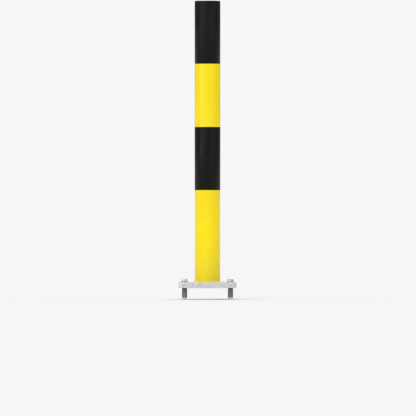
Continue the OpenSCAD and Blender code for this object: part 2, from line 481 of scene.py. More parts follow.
def yellow_coat():
    """Two close yellows, then scuffs, then grit. A scuff shows where noise stretched level is high, within
    patches and between two heights. Grit is the stronger of upright runs and fine specks, near the
    ground."""
    finish = Finish("yellow powder coat", metallic=0.0, specular=0.26)
    drift = finish.ease(finish.noise(7, 3), 0.35, 0.65)
    colour = finish.mix(drift, YELLOW, YELLOW_DEEP)
    lines = finish.noise(34, 5, squeeze=(1, 1, 26))
    patches = finish.ease(finish.noise(9, 2), 0.46, 0.62)
    height = finish.axis("Z")
    above = finish.ease(height, SCUFFS_BEGIN, SCUFFS_FULL)
    below = finish.ease(height, SCUFFS_END, SCUFFS_FADE)
    allowed = finish.math("MULTIPLY", patches, finish.math("MULTIPLY", above, below))
    scuffs = finish.math("MULTIPLY", finish.ease(lines, 0.55, 0.66), allowed)
    colour = finish.mix(finish.math("MULTIPLY", scuffs, 0.7), colour, SCUFF)
    near_ground = finish.ease(height, SPLASH_HEIGHT, 0.01)
    runs = finish.ease(finish.noise(28, 4, squeeze=(1, 1, 0.25)), 0.30, 0.72, 0.02, 0.12)
    specks = finish.ease(finish.noise(1500, 3), 0.60, 0.72, 0.0, 0.5)
    grit = finish.math("MULTIPLY", near_ground, finish.math("MAXIMUM", runs, specks))
    colour = finish.mix(grit, colour, GRIT)
    polish = finish.ease(finish.noise(45, 3), 0.3, 0.7, 0.22, 0.29)
    roughness = finish.math("ADD", polish, finish.math("MULTIPLY", scuffs, 0.2))
    roughness = finish.math("ADD", roughness, finish.math("MULTIPLY", grit, 0.9))
    finish.bump(finish.noise(PEEL, 2), PEEL_DEPTH)
    finish.bump(finish.noise(60, 1), PEEL_DEPTH)
    finish.bump(grit, GRIT_DEPTH)
    return finish.finished(colour, roughness)


YELLOW_COAT = yellow_coat()

# %% [markdown]
# The black bands are self-adhesive film. Film follows the ripple of the coat below it, holds a few tiny
# blisters of air, and shows every hair-fine scratch as a pale line. Dust settles in streaks, and stays in
# the corners at the film's borders and at its lap.

# %% Black film
FILM_BLACK = (0.0040, 0.0042, 0.0030)
FILM_HAZE = (0.020, 0.0195, 0.0175)
FILM_SCRATCH = (0.060, 0.060, 0.056)
DUST = (0.10, 0.095, 0.085)
BLISTER_DEPTH = 0.08 * MM
FILM_PEEL_DEPTH = 0.02 * MM


def black_film():
    """Black, then a haze in upright streaks, then level scratches in patches, then dust where it bends
    in."""
    finish = Finish("black film", metallic=0.0, specular=0.13)
    streaks = finish.ease(finish.noise(16, 5, squeeze=(1, 1, 0.35)), 0.45, 0.75)
    haze = finish.math("MULTIPLY", streaks, 0.22)
    hairs = finish.ease(finish.noise(60, 4, squeeze=(1, 1, 30)), 0.63, 0.70)
    patches = finish.ease(finish.noise(11, 2), 0.45, 0.65, 0.05, 0.5)
    scratches = finish.math("MULTIPLY", hairs, patches)
    colour = finish.mix(haze, FILM_BLACK, FILM_HAZE)
    colour = finish.mix(scratches, colour, FILM_SCRATCH)
    caught = finish.ease(finish.attribute("wear"), -0.01, -0.06, 0.0, 0.8)
    colour = finish.mix(caught, colour, DUST)
    roughness = finish.ease(finish.noise(30, 4), 0.3, 0.7, 0.30, 0.40)
    roughness = finish.math("ADD", roughness, finish.math("MULTIPLY", haze, 0.5))
    roughness = finish.math("ADD", roughness, finish.math("MULTIPLY", scratches, 0.4))
    blisters = finish.ease(finish.noise(150, 1), 0.70, 0.82)
    finish.bump(blisters, BLISTER_DEPTH)
    finish.bump(finish.noise(PEEL, 2), FILM_PEEL_DEPTH)
    return finish.finished(colour, roughness)


BLACK_FILM = black_film()

# %% [markdown]
# The cap and the crush collars are moulded. Polyethylene comes out of an etched mould with a fine leather
# grain, turns a touch grey in the sun, and keeps dust in its corners. Nylon is glossier and finer grained.

# %% Moulded black plastics
CAP_BLACK = (0.0048, 0.0049, 0.0044)
CAP_WEATHERED = (0.012, 0.012, 0.0115)
NYLON_BLACK = (0.010, 0.010, 0.0105)
NYLON_WORN = (0.028, 0.028, 0.028)
CAP_GRAIN = 900
CAP_GRAIN_DEPTH = 0.16 * MM
NYLON_GRAIN = 2600
NYLON_GRAIN_DEPTH = 0.012 * MM


def moulded(name, specular, colours, grain, grain_depth, gloss, dust):
    """A moulded plastic: two close colours in soft patches, a grain this many to the metre, rubbed on its
    outer edges, and dusty in its corners. The gloss is the least and the greatest roughness."""
    finish = Finish(name, metallic=0.0, specular=specular)
    patches = finish.ease(finish.noise(40, 4), 0.35, 0.75, 0.0, 0.7)
    rubbed = finish.ease(finish.attribute("wear"), 0.06, 0.30, 0.0, 0.6)
    colour = finish.mix(finish.math("MAXIMUM", patches, rubbed), colours[0], colours[1])
    caught = finish.ease(finish.attribute("wear"), -0.02, -0.12, 0.0, dust)
    colour = finish.mix(caught, colour, DUST)
    roughness = finish.ease(finish.noise(90, 3), 0.3, 0.7, *gloss)
    finish.bump(finish.noise(grain, 3), grain_depth)
    return finish.finished(colour, roughness)


BLACK_CAP = moulded("black polyethylene", 0.28, (CAP_BLACK, CAP_WEATHERED),
                    CAP_GRAIN, CAP_GRAIN_DEPTH, gloss=(0.40, 0.56), dust=0.6)
BLACK_NYLON = moulded("black nylon", 0.4, (NYLON_BLACK, NYLON_WORN),
                      NYLON_GRAIN, NYLON_GRAIN_DEPTH, gloss=(0.34, 0.46), dust=0.06)

# %% [markdown]
# ### Three steels
# Hot-dip zinc freezes in **spangles**: crystals about a centimetre across that each lean their own way,
# so each returns the light a little differently. A patchwork noise gives every crystal its own grey and
# its own roughness. The plate was cut by a flame, which left upright ripples on its sides, and the coat
# of powder that covers the weld ends in a clean ring where the masking was.

# %% Galvanised steel
ZINC_LIGHT = (0.74, 0.755, 0.765)
ZINC_DULL = (0.54, 0.56, 0.575)
ZINC_BLOOM = (0.76, 0.765, 0.76)
SPANGLES = 105
MASKED_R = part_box("base_weld")[1].x + 1.2 * MM
PLATE_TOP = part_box("base_plate")[1].z
CUTS = 330
CUT_DEPTH = 0.22 * MM
ZINC_WAVE_DEPTH = 0.05 * MM
SPANGLE_DEPTH = 0.012 * MM


def galvanised():
    """Crystals in two sizes, from light to dull, then a bloom of white rust, then rubbed edges. Above the
    plate's top, inside a circle with a slightly wavy edge, the yellow coat covers all that."""
    finish = Finish("hot-dip zinc", metallic=0.65, specular=0.5)
    crystal = finish.cells(SPANGLES)
    small = finish.cells(3.1 * SPANGLES)
    grey = finish.math("ADD", finish.math("MULTIPLY", crystal, 0.7), finish.math("MULTIPLY", small, 0.3))
    colour = finish.mix(grey, ZINC_LIGHT, ZINC_DULL)
    bloom = finish.ease(finish.noise(22, 5), 0.52, 0.75, 0.0, 0.5)
    colour = finish.mix(bloom, colour, ZINC_BLOOM)
    rubbed = finish.ease(finish.attribute("wear"), 0.03, 0.25, 0.0, 0.5)
    colour = finish.mix(rubbed, colour, ZINC_LIGHT)
    x, y, height = (finish.axis(name) for name in "XYZ")
    flat = finish.add("CombineXYZ", {"X": x, "Y": y}).outputs["Vector"]
    from_axis = finish.add("VectorMath", {0: flat}, operation="LENGTH").outputs["Value"]
    edge = finish.math("ADD", from_axis, finish.math("MULTIPLY", finish.noise(300, 2), 0.6 * MM))
    inside = finish.ease(edge, MASKED_R + 0.4 * MM, MASKED_R + 0.2 * MM)
    on_top = finish.ease(height, PLATE_TOP - 0.4 * MM, PLATE_TOP - 0.1 * MM)
    coated = finish.math("MULTIPLY", inside, on_top)
    colour = finish.mix(coated, colour, YELLOW)
    roughness = finish.ease(crystal, 0.0, 1.0, 0.34, 0.50)
    roughness = finish.math("ADD", roughness, finish.math("MULTIPLY", bloom, 0.3))
    cuts = finish.noise(CUTS, 3, squeeze=(1, 1, 0.02))
    on_side = finish.ease(height, PLATE_TOP - 3.5 * MM, PLATE_TOP - 5 * MM)
    finish.bump(finish.math("MULTIPLY", cuts, on_side), CUT_DEPTH)
    finish.bump(finish.noise(140, 4), ZINC_WAVE_DEPTH)
    finish.bump(crystal, SPANGLE_DEPTH)
    return finish.finished(colour, roughness)


GALVANISED = galvanised()

# %% [markdown]
# The bolts, washers and nuts wear a thin, bright electroplated zinc with a cold blue cast. The rolled
# thread and the pressed head keep fine lines from the tools, which follow the outline: that is what the
# distance called **along** is for. The sleeves are phosphated: a dark, dull coat of crystals, soaked in
# oil.

# %% Plated and phosphated steel
PLATED = (0.46, 0.475, 0.50)
PLATED_WARM = (0.46, 0.45, 0.42)
PHOSPHATE = (0.105, 0.106, 0.110)
PHOSPHATE_LIGHT = (0.165, 0.165, 0.162)
BRIGHT_EDGE = (0.42, 0.42, 0.42)
FINE_LINES = 5200
FINE_LINE_DEPTH = 0.008 * MM
COARSE_LINES = 2600
COARSE_LINE_DEPTH = 0.01 * MM
PLATING_WAVE_DEPTH = 0.02 * MM
CRYSTAL_DEPTH = 0.01 * MM


def tool_lines(finish, per_metre):
    """Fine parallel lines at right angles to the outline: noise on the distance along it."""
    inputs = {"W": finish.attribute("along"), "Scale": per_metre, "Detail": 4.0}
    return finish.add("TexNoise", inputs, noise_dimensions="1D").outputs["Fac"]


def zinc_plated():
    """A cold grey with warmer patches, which are also duller, and fine lines from the tools."""
    finish = Finish("bright zinc", metallic=1.0, specular=0.5)
    tint = finish.ease(finish.noise(130, 4), 0.4, 0.7, 0.0, 0.6)
    colour = finish.mix(tint, PLATED, PLATED_WARM)
    lines = tool_lines(finish, FINE_LINES)
    roughness = finish.ease(lines, 0.3, 0.7, 0.25, 0.36)
    roughness = finish.math("ADD", roughness, finish.ease(tint, 0, 0.6, 0, 0.08))
    finish.bump(lines, FINE_LINE_DEPTH)
    finish.bump(finish.noise(700, 3), PLATING_WAVE_DEPTH)
    return finish.finished(colour, roughness)


def phosphated():
    """Two dark greys in mottled patches, worn through to bright steel on the outer edges."""
    finish = Finish("phosphate coat", metallic=0.35, specular=0.4)
    mottled = finish.ease(finish.noise(420, 5), 0.38, 0.66)
    colour = finish.mix(mottled, PHOSPHATE, PHOSPHATE_LIGHT)
    rubbed = finish.ease(finish.attribute("wear"), 0.08, 0.35, 0.0, 0.75)
    colour = finish.mix(rubbed, colour, BRIGHT_EDGE)
    roughness = finish.ease(finish.noise(200, 4), 0.3, 0.7, 0.42, 0.60)
    finish.bump(tool_lines(finish, COARSE_LINES), COARSE_LINE_DEPTH)
    finish.bump(finish.noise(2400, 2), CRYSTAL_DEPTH)
    return finish.finished(colour, roughness)


ZINC_PLATED = zinc_plated()
PHOSPHATED = phosphated()

# %% [markdown]
# ## The post
# The tube starts as a flat strip, rolled round and welded along its joint. Outside, the weld is shaved
# off, which leaves a flat stripe a tenth of a millimetre deep. Inside, its bead stays. The seam is turned
# to the back, so the front shows clean paint. A cylinder with a strip cut from it by a Boolean could show
# that. But a seam this shallow is only a change of radius near one angle, so the pipe's own grid carries
# it.

# %% The tube
BACK = math.pi / 2
tube_low, tube_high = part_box("post_tube")
TUBE_R = tube_high.x
WALL = 3.2 * MM
SHAVED = 0.12 * MM
BEAD = 0.6 * MM
SEAM_HALF_WIDTH = 3 * MM
TUBE_EDGE = 0.7 * MM
TUBE_COLUMNS = 256


def seamed(angle, radius, height):
    """radius - depth * exp(-(arc / half width)^2), where arc is the distance from the seam round the
    tube. The depth is that of the shaved stripe on the outer wall, and that of the bead, which stands
    inwards, on the inner."""
    arc = (angle - BACK) * TUBE_R
    depth = np.where(radius > TUBE_R - WALL / 2, SHAVED, BEAD)
    return radius - depth * np.exp(-((arc / SEAM_HALF_WIDTH) ** 2)), height


def pipe_outline(inner, outer, low, high):
    """The four corners of a pipe's wall, once round."""
    return [(inner, low), (outer, low), (outer, high), (inner, high)]


outline = rounded(pipe_outline(TUBE_R - WALL, TUBE_R, tube_low.z, tube_high.z), TUBE_EDGE)
grid = spun(outline, full_turn(TUBE_COLUMNS), shape=seamed)
add_piece("coated_tube", [(grid, True, True)], "post", ["post_tube"], YELLOW_COAT)

# %% [markdown]
# Each band is one strip of film, wrapped once round with its ends lapped over each other at the back. A
# Solidify modifier on a copy of the tube would make a sleeve with no ends, so the film has a grid of its
# own. It is one layer thick, and two where it laps. It climbs gently over its own buried end, and drops
# off sharply at its free end, which takes two columns of points close beside each other.

# %% The black bands
LAP = 16 * MM
CLIMB = 1.5 * MM
DROP = 0.02 * MM
FILM_EDGE = 0.05 * MM
LAYER = (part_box("black_band_top")[1].x - TUBE_R) / 2
lap_start = BACK - LAP / 2 / TUBE_R
lap_end = BACK + LAP / 2 / TUBE_R


def wrapped(angle, radius, height):
    """The outer face is at tube + layer * (1 + lap). The lap is 0 round the tube, rises as a smooth step
    over the buried end, is 1 across the overlap, and falls back to 0 at the free end."""
    rise = np.clip((angle - lap_start) * TUBE_R / CLIMB + 0.5, 0, 1)
    lap = rise * rise * (3 - 2 * rise) * (angle < lap_end)
    outer = radius > TUBE_R + LAYER / 2
    return np.where(outer, radius + LAYER * lap, radius), height


climb_angles = lap_start + np.linspace(-0.5, 0.5, 9) * CLIMB / TUBE_R
drop_angles = lap_end + np.array([-0.5, 0.5]) * DROP / TUBE_R
band_angles = np.sort(np.concatenate([full_turn(TUBE_COLUMNS), climb_angles, drop_angles]))
for place in ("top", "middle"):
    node = "black_band_" + place
    low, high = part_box(node)
    outline = rounded(pipe_outline(TUBE_R, TUBE_R + LAYER, low.z, high.z), FILM_EDGE, steps=3)
    grid = spun(outline, band_angles, shape=wrapped)
    add_piece("film_wrap_" + place, [(grid, True, True)], "post", [node], BLACK_FILM)

# %% [markdown]
# The cap is a plug: a flange as wide as the tube, over a cup whose barbed lips grip the bore. Its top is
# slightly crowned, so that rain runs off, and has a groove round its rim and a small dimple with the stub
# of the moulding gate in its middle. Built up from a disc, a cup and rings, it would need joining. As one
# outline from pole to pole, spun once, it is closed from the start.

# %% The plug cap
CROWN = 0.5 * MM
RIM = 4 * MM
FLANGE = 3.5 * MM
CUP_WALL = 2.5 * MM
RIM_GROOVE = 0.6 * MM
LIPS = 4
LIP_REACH = 1.7 * MM
GRIP_GAP = 0.05 * MM
CROWN_STEPS = 7
# The dimple and the stub of the gate in it, as radius and height over the crown's top.
GATE_DIMPLE = np.array([(0, -0.2), (0.7, -0.2), (0.9, -0.6), (2.8, -0.6), (3.4, 0)]) * MM
cap_low, cap_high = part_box("end_cap")
CUP_R = TUBE_R - WALL - GRIP_GAP - LIP_REACH

crown_r = np.linspace(4.2 * MM, TUBE_R - RIM, CROWN_STEPS)
crown_z = cap_high.z - CROWN * (crown_r / (TUBE_R - RIM)) ** 2
rim_z = cap_high.z - CROWN
under = cap_high.z - FLANGE
lip_tops = np.linspace(under - 6 * MM, cap_low.z + 2.2 * MM, LIPS)
lip = [(0, 0.6 * MM), (LIP_REACH, 0), (LIP_REACH, -0.5 * MM), (0, -2 * MM)]
cap_outline = (
    [(x, cap_high.z + z) for x, z in GATE_DIMPLE]
    + list(zip(crown_r, crown_z))
    + [(TUBE_R - RIM + RIM_GROOVE, rim_z - RIM_GROOVE), (TUBE_R - RIM + 2 * RIM_GROOVE, rim_z)]
    + [(TUBE_R, rim_z), (TUBE_R, under), (CUP_R, under)]
    + [(CUP_R + x, top + z) for top in lip_tops for x, z in lip]
    + [(CUP_R, cap_low.z), (CUP_R - CUP_WALL, cap_low.z), (CUP_R - CUP_WALL, under), (0, under)]
)
crown_start = len(GATE_DIMPLE)
groove_start = crown_start + CROWN_STEPS
cap_radii = np.full(len(cap_outline), 0.2 * MM)
cap_radii[crown_start:groove_start] = 4 * MM  # the crown flows through its points
cap_radii[groove_start + 2] = 1.5 * MM  # the flange's upper edge
cap_radii[groove_start + 3] = 0.05 * MM  # its lower edge, which sits tight on the tube
grid = spun(rounded(cap_outline, cap_radii, steps=5, closed=False), full_turn(192))
add_piece("plug_cap", [(grid, False, True)], "post", ["end_cap"], BLACK_CAP)

# %% [markdown]
# ## The foot
# A fillet weld is laid as a row of small pools, each frozen over the one before. Seen from above, its
# ripples are crescents, because the middle of the pool sets last. Bump in the finish could draw them, but
# the bead's outline would stay smooth, so they are in the mesh. Round the corner between tube and plate,
# a point has an angle across the bead and a distance from the corner, and the ripple changes the
# distance.

# %% The weld
RIPPLES = 92
HOLLOW = 0.12
RIPPLE_DEPTH = 0.15
RIPPLE_BOW = 0.8
weld_low, weld_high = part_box("base_weld")
LEG = weld_high.x - TUBE_R


def weld_grid():
    """From the corner, the bead's face is at leg * (1 - hollow sin 2a) * (1 - depth w), where a runs from
    0 on the plate to a right angle on the tube. The ripple w is a wave in ripples * turn - 2 pi bow sin 2a,
    sharpened with its own double, so the waves bow forward in the middle. Slow waves make the bead a
    little uneven."""
    turn = full_turn(8 * RIPPLES)[None, :]
    across = np.linspace(0, np.pi / 2, 10)[:, None]
    bow = np.sin(2 * across)
    wave = RIPPLES * turn - 2 * np.pi * RIPPLE_BOW * bow
    ripple = 0.5 + 0.38 * np.sin(wave) + 0.12 * np.sin(2 * wave + 0.6)
    uneven = 0.02 * (2 + np.sin(3 * turn + 1) + np.sin(7 * turn)) * bow
    ripple *= RIPPLE_DEPTH * (0.4 + 0.6 * bow)
    reach = LEG * (1 - HOLLOW * bow) * (1 - ripple) * (1 - uneven)
    radius = np.concatenate([TUBE_R + reach * np.cos(across), TUBE_R + 0 * turn])
    height = np.concatenate([weld_low.z + reach * np.sin(across), weld_low.z + 0 * turn])
    return np.stack([radius * np.cos(turn), radius * np.sin(turn), height], axis=-1)


add_piece("weld_bead", [(weld_grid(), True, True)], "post", ["base_weld"], YELLOW_COAT)

# %% [markdown]
# The plate is flame-cut, ground round its upper edge, drilled, and dipped in zinc. Booleans and a bevel
# would make it from a box, but they leave thin faces by the holes that spoil the shine. Here its rim is
# an outline carried along a square path with round corners, and each hole is a short spun wall with its
# edges broken. That leaves the flat top and the flat underside, with five holes in them. On a plane any
# triangles will do, so these two are simply filled.

# %% The base plate
PLATE_CORNER = 10 * MM
PLATE_EDGE = 4 * MM
RIM_WIDTH = 7 * MM
HOLE_R = 10 * MM
VENT_R = 15 * MM
HOLE_COLLAR = 1.6 * MM
HOLE_EDGE = 0.6 * MM
LOWER_EDGE = 0.8 * MM
TO_HOLE = 80 * MM  # from the plate's middle to an anchor, along X and along Y
PLATE_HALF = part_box("base_plate")[1].x
ANCHORS = {
    corner: (TO_HOLE if "right" in corner else -TO_HOLE, TO_HOLE if "back" in corner else -TO_HOLE)
    for corner in CORNERS
}


def rim_grid(outline, half, corner_r, steps=12):
    """An outline of (distance in from the edge, height) carried round a square. At each corner the path
    is a quarter circle about a centre that lies corner_r inside both sides, and the straight sides join
    the quarters."""
    turn = np.linspace(0, np.pi / 2, steps)
    quarter = np.arange(4)[:, None] * np.pi / 2
    diagonal = quarter + np.pi / 4
    middle = math.sqrt(2) * (half - corner_r) * np.stack([np.cos(diagonal), np.sin(diagonal)])
    outward = np.stack([np.cos(quarter + turn), np.sin(quarter + turn)])
    path = (middle + corner_r * outward).reshape(2, -1)
    outward = outward.reshape(2, -1)
    x, y = (path[side][None] - outline[:, 0][:, None] * outward[side][None] for side in (0, 1))
    return np.stack([x, y, outline[:, 1][:, None] + 0 * x], axis=-1)


def hole_grid(radius, centre):
    """A hole's wall with its two edges broken, and a narrow flat collar round each end."""
    collar = radius + HOLE_COLLAR
    wall = [(collar, 0), (radius, 0), (radius, PLATE_TOP), (collar, PLATE_TOP)]
    return spun(rounded(wall, HOLE_EDGE, steps=5, closed=False), full_turn(72), centre)


side = [(RIM_WIDTH, 0), (0, 0), (0, PLATE_TOP), (RIM_WIDTH, PLATE_TOP)]
side = rounded(side, [0, LOWER_EDGE, PLATE_EDGE, 0], steps=9, closed=False)
grids = [(rim_grid(side, PLATE_HALF, PLATE_CORNER), False, True), (hole_grid(VENT_R, (0, 0)), False, True)]
grids += [(hole_grid(HOLE_R, place), False, True) for place in ANCHORS.values()]
flats = (0, PLATE_TOP)
add_piece("drilled_plate", grids, "post", ["base_plate"], GALVANISED, flats)

# %% [markdown]
# ## The anchors
# Each anchor is a bolt that pulls a cone into a split shell. Its head is forged as a hexagon and then
# turned, so a cone of 30 degrees cuts the six corners at the top. A prism and a cone, intersected, would
# give the shape but not its broken edges. So the head is a grid too, and its side ends, at each angle, at
# the height where the cone is as wide as the hexagon.

# %% The bolt's head
HEAD_TURNED = {"front_left": 26, "front_right": -24, "back_left": -27, "back_right": 23}
ACROSS_FLATS = 19 * MM
THREAD_R = 6 * MM
BEARING_R = 0.43 * ACROSS_FLATS
BEARING_T = 0.6 * MM
CHAMFER_R = 0.475 * ACROSS_FLATS
CORNER_SHARPNESS = 110
CROWDING = 0.85
COLUMNS_PER_SIDE = 14
BREAK = 0.1 * MM
# The fillet under the head, as radius beyond the shank's and height over the bearing face, and the dish in
# the top face, as radius and height over that face.
NECK = np.array([(0, -0.5), (0.1, -0.15), (0.4, 0)]) * MM
DISH = np.array([(7.6, 0), (7.2, -0.06), (6.4, -0.42), (6.0, -0.5), (3.0, -0.54), (0, -0.55)]) * MM
bolt_low, bolt_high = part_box("bolt_front_left")
HEAD_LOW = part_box("washer_front_left")[1].z


def head_angles(turned):
    """Angles once round, crowded near the six corners: within a side, u - crowding sin(2 pi u) / (2 pi)."""
    share = np.arange(6 * COLUMNS_PER_SIDE) / COLUMNS_PER_SIDE
    return turned + (share - CROWDING * np.sin(2 * np.pi * share) / (2 * np.pi)) * np.pi / 3


def hexagon(angle, turned):
    """Half the width across flats, over the p-mean of the cosines to the six sides. A large p keeps the
    sides flat and rounds the corners by half a millimetre."""
    sides = turned + np.pi / 6 + np.arange(6) * np.pi / 3
    reach = np.maximum(np.cos(angle[:, None] - sides[None, :]), 0)
    return ACROSS_FLATS / 2 / (reach ** CORNER_SHARPNESS).sum(axis=1) ** (1 / CORNER_SHARPNESS)


def head_rows(angle, turned):
    """Radius and height of each row from the neck up: the bearing face, the six sides, the cone, the
    shallow dish."""
    side = hexagon(angle, turned)
    top = bolt_high.z
    shoulder = top - (side - CHAMFER_R) * math.tan(math.radians(30))
    hex_low = HEAD_LOW + BEARING_T
    rows = [(THREAD_R, NECK_LOW)]
    rows += [(THREAD_R + x, HEAD_LOW + z) for x, z in NECK]
    rows += [(BEARING_R - BREAK, HEAD_LOW), (BEARING_R, HEAD_LOW + BREAK), (BEARING_R, hex_low)]
    rows += [(side - 3 * BREAK, hex_low), (side - 0.8 * BREAK, hex_low + 0.8 * BREAK)]
    rows += [(side, hex_low + 3 * BREAK), (side, (hex_low + shoulder) / 2), (side, shoulder - 1.5 * BREAK)]
    rows += [(side - 0.6 * BREAK, shoulder + 0.2 * BREAK), ((side + CHAMFER_R) / 2, (shoulder + top) / 2)]
    rows += [(CHAMFER_R + 1.5 * BREAK, top - 0.9 * BREAK), (CHAMFER_R - BREAK, top)]
    rows += [(x, top + z) for x, z in DISH]
    radius = np.array([row[0] + 0 * angle for row in rows])
    height = np.array([row[1] + 0 * angle for row in rows])
    return np.stack([radius * np.cos(angle), radius * np.sin(angle), height], axis=-1)


print("head", round((bolt_high.z - HEAD_LOW) / MM, 2), "mm high")

# %% [markdown]
# The thread is the piece that a stack of rings can't fake, and a Screw modifier would leave both its ends
# open. Here every row of points climbs by one pitch in a turn, so crest and root are true helices, and
# the last column of a row meets the first column of the row a turn further up. At both ends the height is
# held back, and what is squeezed there falls together and merges: the chamfer closes the tip, and the
# run-out closes the neck.

# %% The bolt's thread
PITCH = 1.75 * MM
ROOT_R = THREAD_R - 0.6134 * PITCH
TIP_R = ROOT_R - 0.4 * MM
THREAD_LENGTH = 26 * MM
RUN_OUT = THREAD_R - ROOT_R
NECK_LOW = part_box("cone_nut_front_left")[0].z + THREAD_LENGTH + RUN_OUT
ROW_SHARES = np.array([0, 0.10, 0.15, 0.27, 0.40, 0.45, 0.5, 0.55, 0.60, 0.73, 0.85, 0.90])


def thread_grid(angle):
    """With s the share of a turn above the root's middle, the profile is (3/8 - |s - 1/2|) / (5/16), held
    between 0 and 1. The radius is root + depth * profile, no more than the tip's cone, no less than the
    run-out's cone."""
    turns = math.ceil((NECK_LOW - bolt_low.z) / PITCH) + 1
    share = (np.arange(turns)[:, None] + ROW_SHARES).reshape(-1, 1)
    angle = np.append(angle, angle[0] + 2 * np.pi)[None, :]
    free = bolt_low.z + PITCH * (share - 1 + (angle - angle[0, 0]) / (2 * np.pi))
    height = np.clip(free, bolt_low.z, NECK_LOW)
    profile = np.clip((3 / 8 - abs(share % 1 - 0.5)) / (5 / 16), 0, 1)
    radius = ROOT_R + (THREAD_R - ROOT_R) * profile
    radius = np.minimum(radius, TIP_R + height - bolt_low.z)
    radius = np.maximum(radius, THREAD_R - (NECK_LOW - height))
    return np.stack([radius * np.cos(angle), radius * np.sin(angle), height], axis=-1)


print("thread over", round((NECK_LOW - bolt_low.z) / PITCH, 1), "turns")

# %% [markdown]
# A flat disc closes the shank's end below the thread. The same head and the same thread serve all four
# bolts, each turned as far as the wrench left it, so they are made by one loop.

# %% The four bolts
def tip_grid(angle):
    """The flat end of the shank, from its middle out to the chamfer."""
    radius = np.array([0, 0.6, 1.0])[:, None] * TIP_R
    height = bolt_low.z + 0 * radius * angle
    return np.stack([radius * np.cos(angle), radius * np.sin(angle), height], axis=-1)


def moved(grid, centre):
    """The grid, moved level to stand round this centre."""
    return grid + np.array([*centre, 0.0])


for corner, centre in ANCHORS.items():
    turned = math.radians(HEAD_TURNED[corner])
    angle = head_angles(turned)
    parts = [
        (tip_grid(angle), False, True),
        (thread_grid(angle), False, False),
        (head_rows(angle, turned), False, True),
    ]
    grids = [(moved(grid, centre), rows, columns) for grid, rows, columns in parts]
    bolt = "bolt_" + corner
    add_piece("hex_" + bolt, grids, bolt, [bolt], ZINC_PLATED)

# %% [markdown]
# Washers are punched from strip. The punch draws the upper edges round and leaves the lower ones sharp. One
# bevel width for all four edges would look machined, so each corner of the outline has a radius of its own.

# %% The washers
WASHER_HOLE_R = 6.5 * MM
WASHER_EDGES = (0.1 * MM, 0.12 * MM, 0.55 * MM, 0.35 * MM)  # lower inner and outer, upper outer and inner

for corner, centre in ANCHORS.items():
    node = "washer_" + corner
    low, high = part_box(node)
    outline = rounded(pipe_outline(WASHER_HOLE_R, high.x - centre[0], low.z, high.z), WASHER_EDGES)
    grid = spun(outline, full_turn(96), centre)
    add_piece("flat_" + node, [(grid, True, True)], "post", [node], ZINC_PLATED)

# %% [markdown]
# The distance sleeve is a tube with broken edges, rolled from strip, so it has a fine joint down one side.
# Like the seam of the post, the joint is a change of radius, with columns of points crowded round it.

# %% The distance sleeves
SLEEVE_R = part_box("distance_sleeve_front_right")[1].x - TO_HOLE
SLEEVE_BORE_R = 6.5 * MM
SLEEVE_EDGE = 0.35 * MM
JOINT_DEPTH = 0.25 * MM
JOINT_HALF_WIDTH = 0.22 * MM


def jointed(angle, radius, height):
    """The outer wall has a groove where the strip's ends meet: radius - depth * exp(-(arc / half
    width)^2)."""
    arc = (angle - BACK) * radius
    groove = JOINT_DEPTH * np.exp(-((arc / JOINT_HALF_WIDTH) ** 2))
    return np.where(radius > SLEEVE_BORE_R + 1 * MM, radius - groove, radius), height


joint_columns = BACK + np.linspace(-3, 3, 14) * JOINT_HALF_WIDTH / SLEEVE_R
joint_angles = np.sort(np.concatenate([full_turn(80), joint_columns]))
for corner, centre in ANCHORS.items():
    node = "distance_sleeve_" + corner
    low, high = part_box(node)
    outline = rounded(pipe_outline(SLEEVE_BORE_R, SLEEVE_R, low.z, high.z), SLEEVE_EDGE)
    grid = spun(outline, joint_angles, centre, jointed)
    add_piece("rolled_" + node, [(grid, True, True)], "post", [node], PHOSPHATED)

# %% [markdown]
# The nylon collar below has a waist and shallow flutes, which let it fold when the bolt is drawn tight. The
# waist is in its outline, and the flutes come from its angle, so neither needs a cut.

# %% The crush collars
COLLAR_EDGE = 0.3 * MM
FLUTES = 18
FLUTE_DEPTH = 0.22 * MM
WAIST_DEPTH = 0.6 * MM
WAIST_HALF_HEIGHT = 1 * MM


def fluted(angle, radius, height):
    """The outer wall is drawn in by flutes: radius - depth * (1/2 - 1/2 cos(flutes * angle))^2, bore
    unchanged."""
    flute = FLUTE_DEPTH * (0.5 - 0.5 * np.cos(FLUTES * angle)) ** 2
    return np.where(radius > SLEEVE_BORE_R + 0.6 * MM, radius - flute, radius), height


for corner, centre in ANCHORS.items():
    node = "crush_collar_" + corner
    low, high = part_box(node)
    outer, waist = high.x - centre[0], (low.z + high.z) / 2
    outline = pipe_outline(SLEEVE_BORE_R, outer, low.z, high.z)
    waist_low, waist_high = waist - WAIST_HALF_HEIGHT, waist + WAIST_HALF_HEIGHT
    outline[2:2] = [(outer, waist_low), (outer - WAIST_DEPTH, waist), (outer, waist_high)]
    grid = spun(rounded(outline, COLLAR_EDGE), full_turn(8 * FLUTES), centre, fluted)
    add_piece("fluted_" + node, [(grid, True, True)], "post", [node], BLACK_NYLON)

# %% [markdown]
# The expansion sleeve is split from below by four slots, each ending in a round hole so that it doesn't
# tear, and has three grooves that bite into the concrete. Cutting all that out of a pipe would take
# eleven Booleans. Instead, three short functions say what a sleeve is at any height: how wide outside,
# how wide inside, and how wide its slots are.

# %% The sleeve at any height
SLOTS = 4
SLOT_HALF = 0.75 * MM
RELIEF_R = 1.2 * MM
SHELL_BORE_R = 6.3 * MM
SHELL_TAPER = (8.0 * MM, 6.9 * MM)
GROOVE = 0.4 * MM
GROOVE_PITCH = 4 * MM
FOOT_CHAMFER = 0.5 * MM
SHELL_EDGE = 0.3 * MM
LEG_COLUMNS = 16
shell_low, shell_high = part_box("expansion_sleeve_front_left")
SHELL_R = shell_high.x - ANCHORS["front_left"][0]
SLOT_TOP = shell_high.z - 9 * MM
nut_low, nut_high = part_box("cone_nut_front_left")
GROOVES = shell_low.z + GROOVE_PITCH * np.arange(1, 4)


